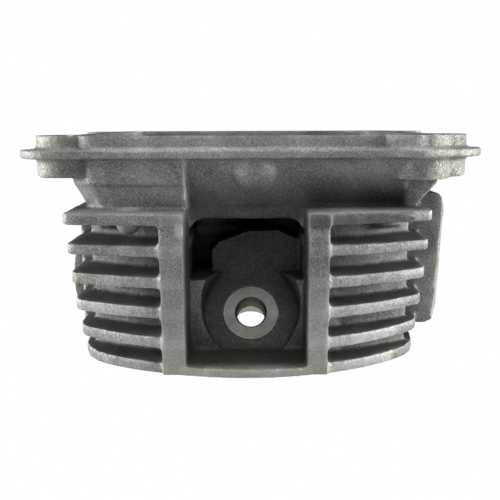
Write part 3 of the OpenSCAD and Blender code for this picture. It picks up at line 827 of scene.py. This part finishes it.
def spring_mesh(centre, mean_r, wire_r, low, high, turns, sides=14, steps=40):
    """A coil spring whose end turns are closed up and ground flat."""
    # each closed end takes this share of the wire, and climbs half as fast as an even coil
    closed = 0.16
    bends = (0, closed, 1 - closed, 1), (0, closed / 2, 1 - closed / 2, 1)
    sunk = 0.55 * wire_r
    rings = int(turns * steps)
    rise = high - low - 2 * sunk
    work = bmesh.new()
    made = []
    for i in range(rings + 1):
        t = i / rings
        height = low + sunk + rise * float(np.interp(t, *bends))
        turn = 2 * math.pi * turns * t
        ring = []
        for j in range(sides):
            round_wire = 2 * math.pi * j / sides
            radius = mean_r + wire_r * math.cos(round_wire)
            x = centre.x + radius * math.cos(turn)
            y = centre.y + radius * math.sin(turn)
            z = min(max(height + wire_r * math.sin(round_wire), low), high)
            ring.append(work.verts.new((x, y, z)))
        made.append(ring)
    rows_of_faces(work, made)
    work.faces.new(made[0])
    work.faces.new(reversed(made[-1]))
    return mesh_of(work, "coil")


def build_spring(side, look, steel):
    """One valve spring."""
    node = f"{side}_valve_spring"
    low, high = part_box(node)
    centre = (low + high) / 2
    wire_r = look.wire_mm / 2 * MM
    mean_r = (high.x - low.x) / 2 - wire_r
    mesh = spring_mesh(centre, mean_r, wire_r, low.z, high.z, look.spring_turns)
    piece = stand_in(node, f"{side}_coil_spring", mesh, steel)
    shade(mesh)
    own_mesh(piece)


def build_rocker(side, steel):
    """One rocker arm with the rounded edges of a forging."""
    node = f"{side}_rocker_arm"
    piece = stand_in(node, f"{side}_rocker", welded_copy(node), steel)
    moulded_skin(piece, 0.35 * MM, 4)
    thin_out(piece, 18000)
    piece.data.materials.clear()
    piece.data.materials.append(steel)
    shade(piece.data, math.radians(60))


def build_stud(side, steel):
    """A rocker stud: a hexagon foot, a plain shank and a rolled thread with a chamfered end,
    which stops just short of the plain stud's end."""
    node = f"{side}_rocker_stud"
    low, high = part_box(node)
    centre = (low + high) / 2
    shank, core = 4 * MM, 3.3 * MM
    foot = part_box("push_rod_guide_plate")[1].z
    tip = high.z - 1.2 * MM
    thread_low, thread_high = tip - 13.5 * MM, tip - 0.8 * MM
    profile = [(0, low.z), (shank, low.z), (shank, thread_low - 0.5 * MM)]
    profile += thread_profile(shank, 0.6 * MM, thread_low, thread_high, M8_PITCH * MM)
    profile += [(core, tip), (0, tip)]
    work = bmesh.new()
    lathe(profile, Matrix.Translation((centre.x, centre.y, 0)), 48, work=work)
    across = (high.y - low.y) * INSIDE_BOX
    hex_nut(centre, across, foot, foot + 5 * MM, shank - 0.9 * MM, M8_PITCH * MM, work)
    mesh = mesh_of(work, node)
    stand_in(node, f"{side}_threaded_stud", mesh, steel)
    shade(mesh)


def build_lock_nut(side, steel):
    """A chamfered hexagon lock nut."""
    node = f"{side}_lock_nut"
    low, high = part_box(node)
    across = (high.y - low.y) * INSIDE_BOX
    work = bmesh.new()
    hex_nut((low + high) / 2, across, low.z, high.z, NUT_BORE, M8_PITCH * MM, work)
    mesh = mesh_of(work, node)
    stand_in(node, f"{side}_chamfered_lock_nut", mesh, steel)
    shade(mesh)


def build_ball_nut(side, steel):
    """The half-ball that a rocker turns on, with a hexagon above it."""
    node = f"{side}_adjusting_nut"
    low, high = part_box(node)
    centre = (low + high) / 2
    pivot_z, ball_r, steps = JOINTS[f"{side}_rocker_hinge"]["pos_m"][2], 8 * MM, 14
    across, hex_low = 11.9 * MM, high.z - 3.1 * MM
    first, last = (math.asin((pivot_z - z) / ball_r) for z in (low.z, hex_low))
    profile = []
    for i in range(steps + 1):
        turn = first + (last - first) * i / steps
        radius = ball_r * math.cos(turn)
        if radius > NUT_BORE:
            profile.append((radius, pivot_z - ball_r * math.sin(turn)))
    profile += [(NUT_BORE, hex_low), (NUT_BORE, profile[0][1])]
    work = bmesh.new()
    lathe(profile, Matrix.Translation((centre.x, centre.y, 0)), 72, closed=True, work=work)
    hex_nut(centre, across, hex_low, high.z, NUT_BORE, M8_PITCH * MM, work)
    mesh = mesh_of(work, node)
    stand_in(node, f"{side}_ball_nut", mesh, steel)
    shade(mesh)


def finish_node(node, width_mm, material):
    """Breaks a plain CAD node's edges and gives it its finish."""
    mesh = softened(node, width_mm * MM)
    stand_in(node, f"{node}_finished", mesh, material)
    shade(mesh, math.radians(32))


# ---------- settings ----------


class HeadLook(bpy.types.PropertyGroup):
    """Sizes and colours that a user would change."""

    grain_mm: bpy.props.FloatProperty(
        name="Cast grain",
        description="Width of the casting's grain in millimetres",
        default=0.7,
        min=0.2,
        max=3,
    )
    wave_mm: bpy.props.FloatProperty(
        name="Cast waves",
        description="Height of the skin's broad waves in millimetres",
        default=0.22,
        min=0,
        max=1,
    )
    ripple_mm: bpy.props.FloatProperty(
        name="Cast ripple",
        description="Height of the skin's close ripple in millimetres",
        default=0.1,
        min=0,
        max=1,
    )
    skin_voxel: bpy.props.FloatProperty(
        name="Skin step",
        description="Mesh step of the cast skin in millimetres",
        default=0.85,
        min=0.6,
        max=3,
    )
    skin_rounds: bpy.props.IntProperty(
        name="Edge rounding",
        description="How many times the cast skin is smoothed",
        default=1,
        min=0,
        max=20,
    )
    wire_mm: bpy.props.FloatProperty(
        name="Spring wire",
        description="Thickness of the valve springs' wire in millimetres",
        default=3.0,
        min=2,
        max=4,
    )
    spring_turns: bpy.props.FloatProperty(
        name="Spring turns",
        description="Number of coils in a valve spring",
        default=5.0,
        min=3,
        max=8,
    )
    cast_dark: bpy.props.FloatVectorProperty(
        name="Cast dark",
        description="Darker shade of the cast skin",
        subtype="COLOR",
        size=4,
        default=linear("#6f6d69"),
    )
    cast_light: bpy.props.FloatVectorProperty(
        name="Cast light",
        description="Lighter shade of the cast skin",
        subtype="COLOR",
        size=4,
        default=linear("#a19f9a"),
    )
    cast_warm: bpy.props.FloatVectorProperty(
        name="Cast residue",
        description="Brown-grey residue on the skin",
        subtype="COLOR",
        size=4,
        default=linear("#857f77"),
    )
    # Also the colour of the painted glints, the painted light and the painted edge highlights.
    cast_pale: bpy.props.FloatVectorProperty(
        name="Cast sparkle",
        description="Bright tops of the grain",
        subtype="COLOR",
        size=4,
        default=linear("#c9c6c0"),
    )
    # Also the colour of the painted shade in the well, the recesses and the creases.
    cast_grime_and_shade: bpy.props.FloatVectorProperty(
        name="Cast grime",
        description="Dark bottoms of the grain",
        subtype="COLOR",
        size=4,
        default=linear("#2e2d2b"),
    )
    machined_dark: bpy.props.FloatVectorProperty(
        name="Machined dark",
        description="Darker shade of machined faces",
        subtype="COLOR",
        size=4,
        default=linear("#8b8780"),
    )
    machined_light: bpy.props.FloatVectorProperty(
        name="Machined light",
        description="Lighter shade of machined faces",
        subtype="COLOR",
        size=4,
        default=linear("#b7b2aa"),
    )


class StudioLook(bpy.types.PropertyGroup):
    """The stage, the lights and the camera."""

    surround: bpy.props.FloatProperty(
        name="Surround",
        description="Brightness of the white surround as light",
        default=0.04,
        min=0,
        max=4,
    )
    table: bpy.props.FloatProperty(
        name="Table",
        description="Brightness of the pale table as light",
        default=0.7,
        min=0,
        max=4,
    )
    right_power: bpy.props.FloatProperty(
        name="Right light",
        description="Power of the soft box on the right",
        default=19.0,
        unit="POWER",
    )
    left_power: bpy.props.FloatProperty(
        name="Left light",
        description="Power of the soft box on the left",
        default=19.0,
        unit="POWER",
    )
    top_power: bpy.props.FloatProperty(
        name="Top light",
        description="Power of the soft box overhead",
        default=8.0,
        unit="POWER",
    )
    front_power: bpy.props.FloatProperty(
        name="Front light",
        description="Power of the soft box high in front",
        default=2.0,
        unit="POWER",
    )
    distance: bpy.props.FloatProperty(
        name="Camera distance",
        description="From the lens to the front of the fins",
        default=0.270,
        unit="LENGTH",
    )
    height: bpy.props.FloatProperty(
        name="Camera height",
        description="Lens height over the gasket face",
        default=0.103,
        unit="LENGTH",
    )
    pitch: bpy.props.FloatProperty(
        name="Camera pitch",
        description="How far the lens looks down",
        default=math.radians(10.5),
        subtype="ANGLE",
    )
    roll: bpy.props.FloatProperty(
        name="Camera roll",
        description="Turn about the line of sight",
        default=math.radians(-0.2),
        subtype="ANGLE",
    )
    lens_mm: bpy.props.FloatProperty(
        name="Lens",
        description="Focal length on a 36 mm sensor, in millimetres",
        default=50.4,
        min=10,
        max=200,
    )


# ---------- operators ----------


class BuildStage(bpy.types.Operator):
    """Sets up the pale table, the surround, the soft lights and the camera"""

    bl_idname = "cylinder_head.stage"
    bl_label = "Stage"

    def execute(self, context):
        look = context.scene.studio_look
        build_surround(look)
        build_table(look)
        soft_box("right_box", (1.0, -0.05, 0.1), 0.5, look.right_power)
        soft_box("left_box", (-1.0, -0.05, 0.1), 0.5, look.left_power)
        soft_box("top_box", (0.1, -0.1, 1.0), 0.7, look.top_power)
        soft_box("front_box", (0.0, -0.7, 0.9), 0.6, look.front_power)
        build_camera(look)
        context.scene.view_settings.view_transform = "Standard"
        return {"FINISHED"}


class BuildCasting(bpy.types.Operator):
    """Makes the finned casting with its machined faces"""

    bl_idname = "cylinder_head.casting"
    bl_label = "Casting"

    def execute(self, context):
        build_casting(context.scene.head_look)
        return {"FINISHED"}


class BuildSprings(bpy.types.Operator):
    """Makes the valve springs"""

    bl_idname = "cylinder_head.springs"
    bl_label = "Valve springs"

    def execute(self, context):
        steel = spring_steel()
        for side in SIDES:
            build_spring(side, context.scene.head_look, steel)
        return {"FINISHED"}


class BuildRockers(bpy.types.Operator):
    """Makes the rocker arms"""

    bl_idname = "cylinder_head.rockers"
    bl_label = "Rocker arms"

    def execute(self, context):
        steel = hardened_steel()
        for side in SIDES:
            build_rocker(side, steel)
        return {"FINISHED"}


class BuildFasteners(bpy.types.Operator):
    """Makes the rocker studs, their ball nuts and their lock nuts"""

    bl_idname = "cylinder_head.fasteners"
    bl_label = "Studs and nuts"

    def execute(self, context):
        steel = plated_steel()
        for side in SIDES:
            build_stud(side, steel)
            build_ball_nut(side, steel)
            build_lock_nut(side, steel)
        return {"FINISHED"}


class FinishValveGear(bpy.types.Operator):
    """Finishes the valves, seats, guides, seals, retainers, keepers and guide plate"""

    bl_idname = "cylinder_head.valve_gear"
    bl_label = "Valve gear finishes"

    def execute(self, context):
        turned = worked_metal("turned_steel", "#8e9090", "#bfc0bc", 0.2, 0.36, 0.6, (1, 1, 3))
        pressed = pressed_steel()
        parts = {
            "valve": (0.15, valve_steel()),
            "valve_seat": (0.12, sintered_iron()),
            "valve_guide": (0.15, guide_bronze()),
            "stem_seal": (0.25, seal_rubber()),
            "spring_seat": (0.2, pressed),
            "spring_retainer": (0.25, turned),
            "valve_keepers": (0.1, turned),
        }
        for side in SIDES:
            for part, (width, material) in parts.items():
                finish_node(f"{side}_{part}", width, material)
        finish_node("exhaust_valve_cap", 0.2, turned)
        finish_node("push_rod_guide_plate", 0.3, pressed)
        return {"FINISHED"}


# ---------- stage ----------


def build_surround(look):
    """A white surround that shows as white, and lights the object with less than that."""
    world = bpy.data.worlds.new("white_surround")
    world.use_nodes = True
    tree = world.node_tree
    tree.nodes.clear()
    seen = add(tree, "ShaderNodeLightPath").outputs["Is Camera Ray"]
    strength = add(tree, "ShaderNodeMapRange", Value=seen, To_Min=look.surround, To_Max=1.0)
    sky = add(tree, "ShaderNodeBackground", Color=linear("#ffffff"), Strength=strength)
    add(tree, "ShaderNodeOutputWorld", Surface=sky)
    bpy.context.scene.world = world


def build_table(look):
    """A pale light table, even enough to meet the surround with no line."""
    mesh = bpy.data.meshes.new("table")
    half, level = 3.0, GASKET_Z - 0.3 * MM
    corners = ((-half, -half), (half, -half), (half, half), (-half, half))
    mesh.from_pydata([(x, y, level) for x, y in corners], [], [(0, 1, 2, 3)])
    table = new_object("table", mesh)
    material, tree, _ = new_material("light_table")
    seen = add(tree, "ShaderNodeLightPath").outputs["Is Camera Ray"]
    strength = add(tree, "ShaderNodeMapRange", Value=seen, To_Min=look.table, To_Max=1.0)
    glow = add(tree, "ShaderNodeEmission", Color=linear("#ffffff"), Strength=strength)
    add(tree, "ShaderNodeOutputMaterial", Surface=glow)
    mesh.materials.append(material)


def soft_box(name, place, size, power):
    """A square soft light aimed at the middle of the head."""
    lamp = bpy.data.lights.new(name, "AREA")
    lamp.size = size
    lamp.energy = power
    light = bpy.data.objects.new(name, lamp)
    light.location = place
    aim = Vector((0, 0, COVER_Z / 2)) - Vector(place)
    light.rotation_euler = aim.to_track_quat("-Z", "Y").to_euler()
    bpy.context.scene.collection.objects.link(light)


def build_camera(look):
    """A camera close to the plug side, a little above the fins and looking down."""
    data = bpy.data.cameras.new("camera")
    data.lens = look.lens_mm
    data.clip_start = 0.01
    camera = bpy.data.objects.new("camera", data)
    place = Matrix.Translation((0, FRONT_Y - look.distance, GASKET_Z + look.height))
    tilt = Matrix.Rotation(math.pi / 2 - look.pitch, 4, "X")
    camera.matrix_world = place @ tilt @ Matrix.Rotation(look.roll, 4, "Z")
    bpy.context.scene.collection.objects.link(camera)
    bpy.context.scene.camera = camera


# ---------- panel and registration ----------

STEPS = (BuildStage, BuildCasting, BuildSprings, BuildRockers, BuildFasteners, FinishValveGear)


class HeadPanel(bpy.types.Panel):
    """Lists the steps that make the head"""

    bl_idname = "VIEW3D_PT_cylinder_head"
    bl_label = "Cylinder Head"
    bl_space_type = "VIEW_3D"
    bl_region_type = "UI"
    bl_category = "Cylinder Head"

    def draw(self, context):
        for step in STEPS:
            self.layout.operator(step.bl_idname)
        for look in (context.scene.head_look, context.scene.studio_look):
            box = self.layout.box()
            for name in look.bl_rna.properties.keys():
                if name not in ("rna_type", "name"):
                    box.prop(look, name)


CLASSES = (HeadLook, StudioLook, *STEPS, HeadPanel)


def register():
    for cls in CLASSES:
        bpy.utils.register_class(cls)
    bpy.types.Scene.head_look = bpy.props.PointerProperty(type=HeadLook)
    bpy.types.Scene.studio_look = bpy.props.PointerProperty(type=StudioLook)


def unregister():
    del bpy.types.Scene.studio_look
    del bpy.types.Scene.head_look
    for cls in reversed(CLASSES):
        bpy.utils.unregister_class(cls)


def main():
    register()
    bpy.ops.cylinder_head.stage()
    bpy.ops.cylinder_head.casting()
    bpy.ops.cylinder_head.springs()
    bpy.ops.cylinder_head.rockers()
    bpy.ops.cylinder_head.fasteners()
    bpy.ops.cylinder_head.valve_gear()


if __name__ == "__main__":
    main()
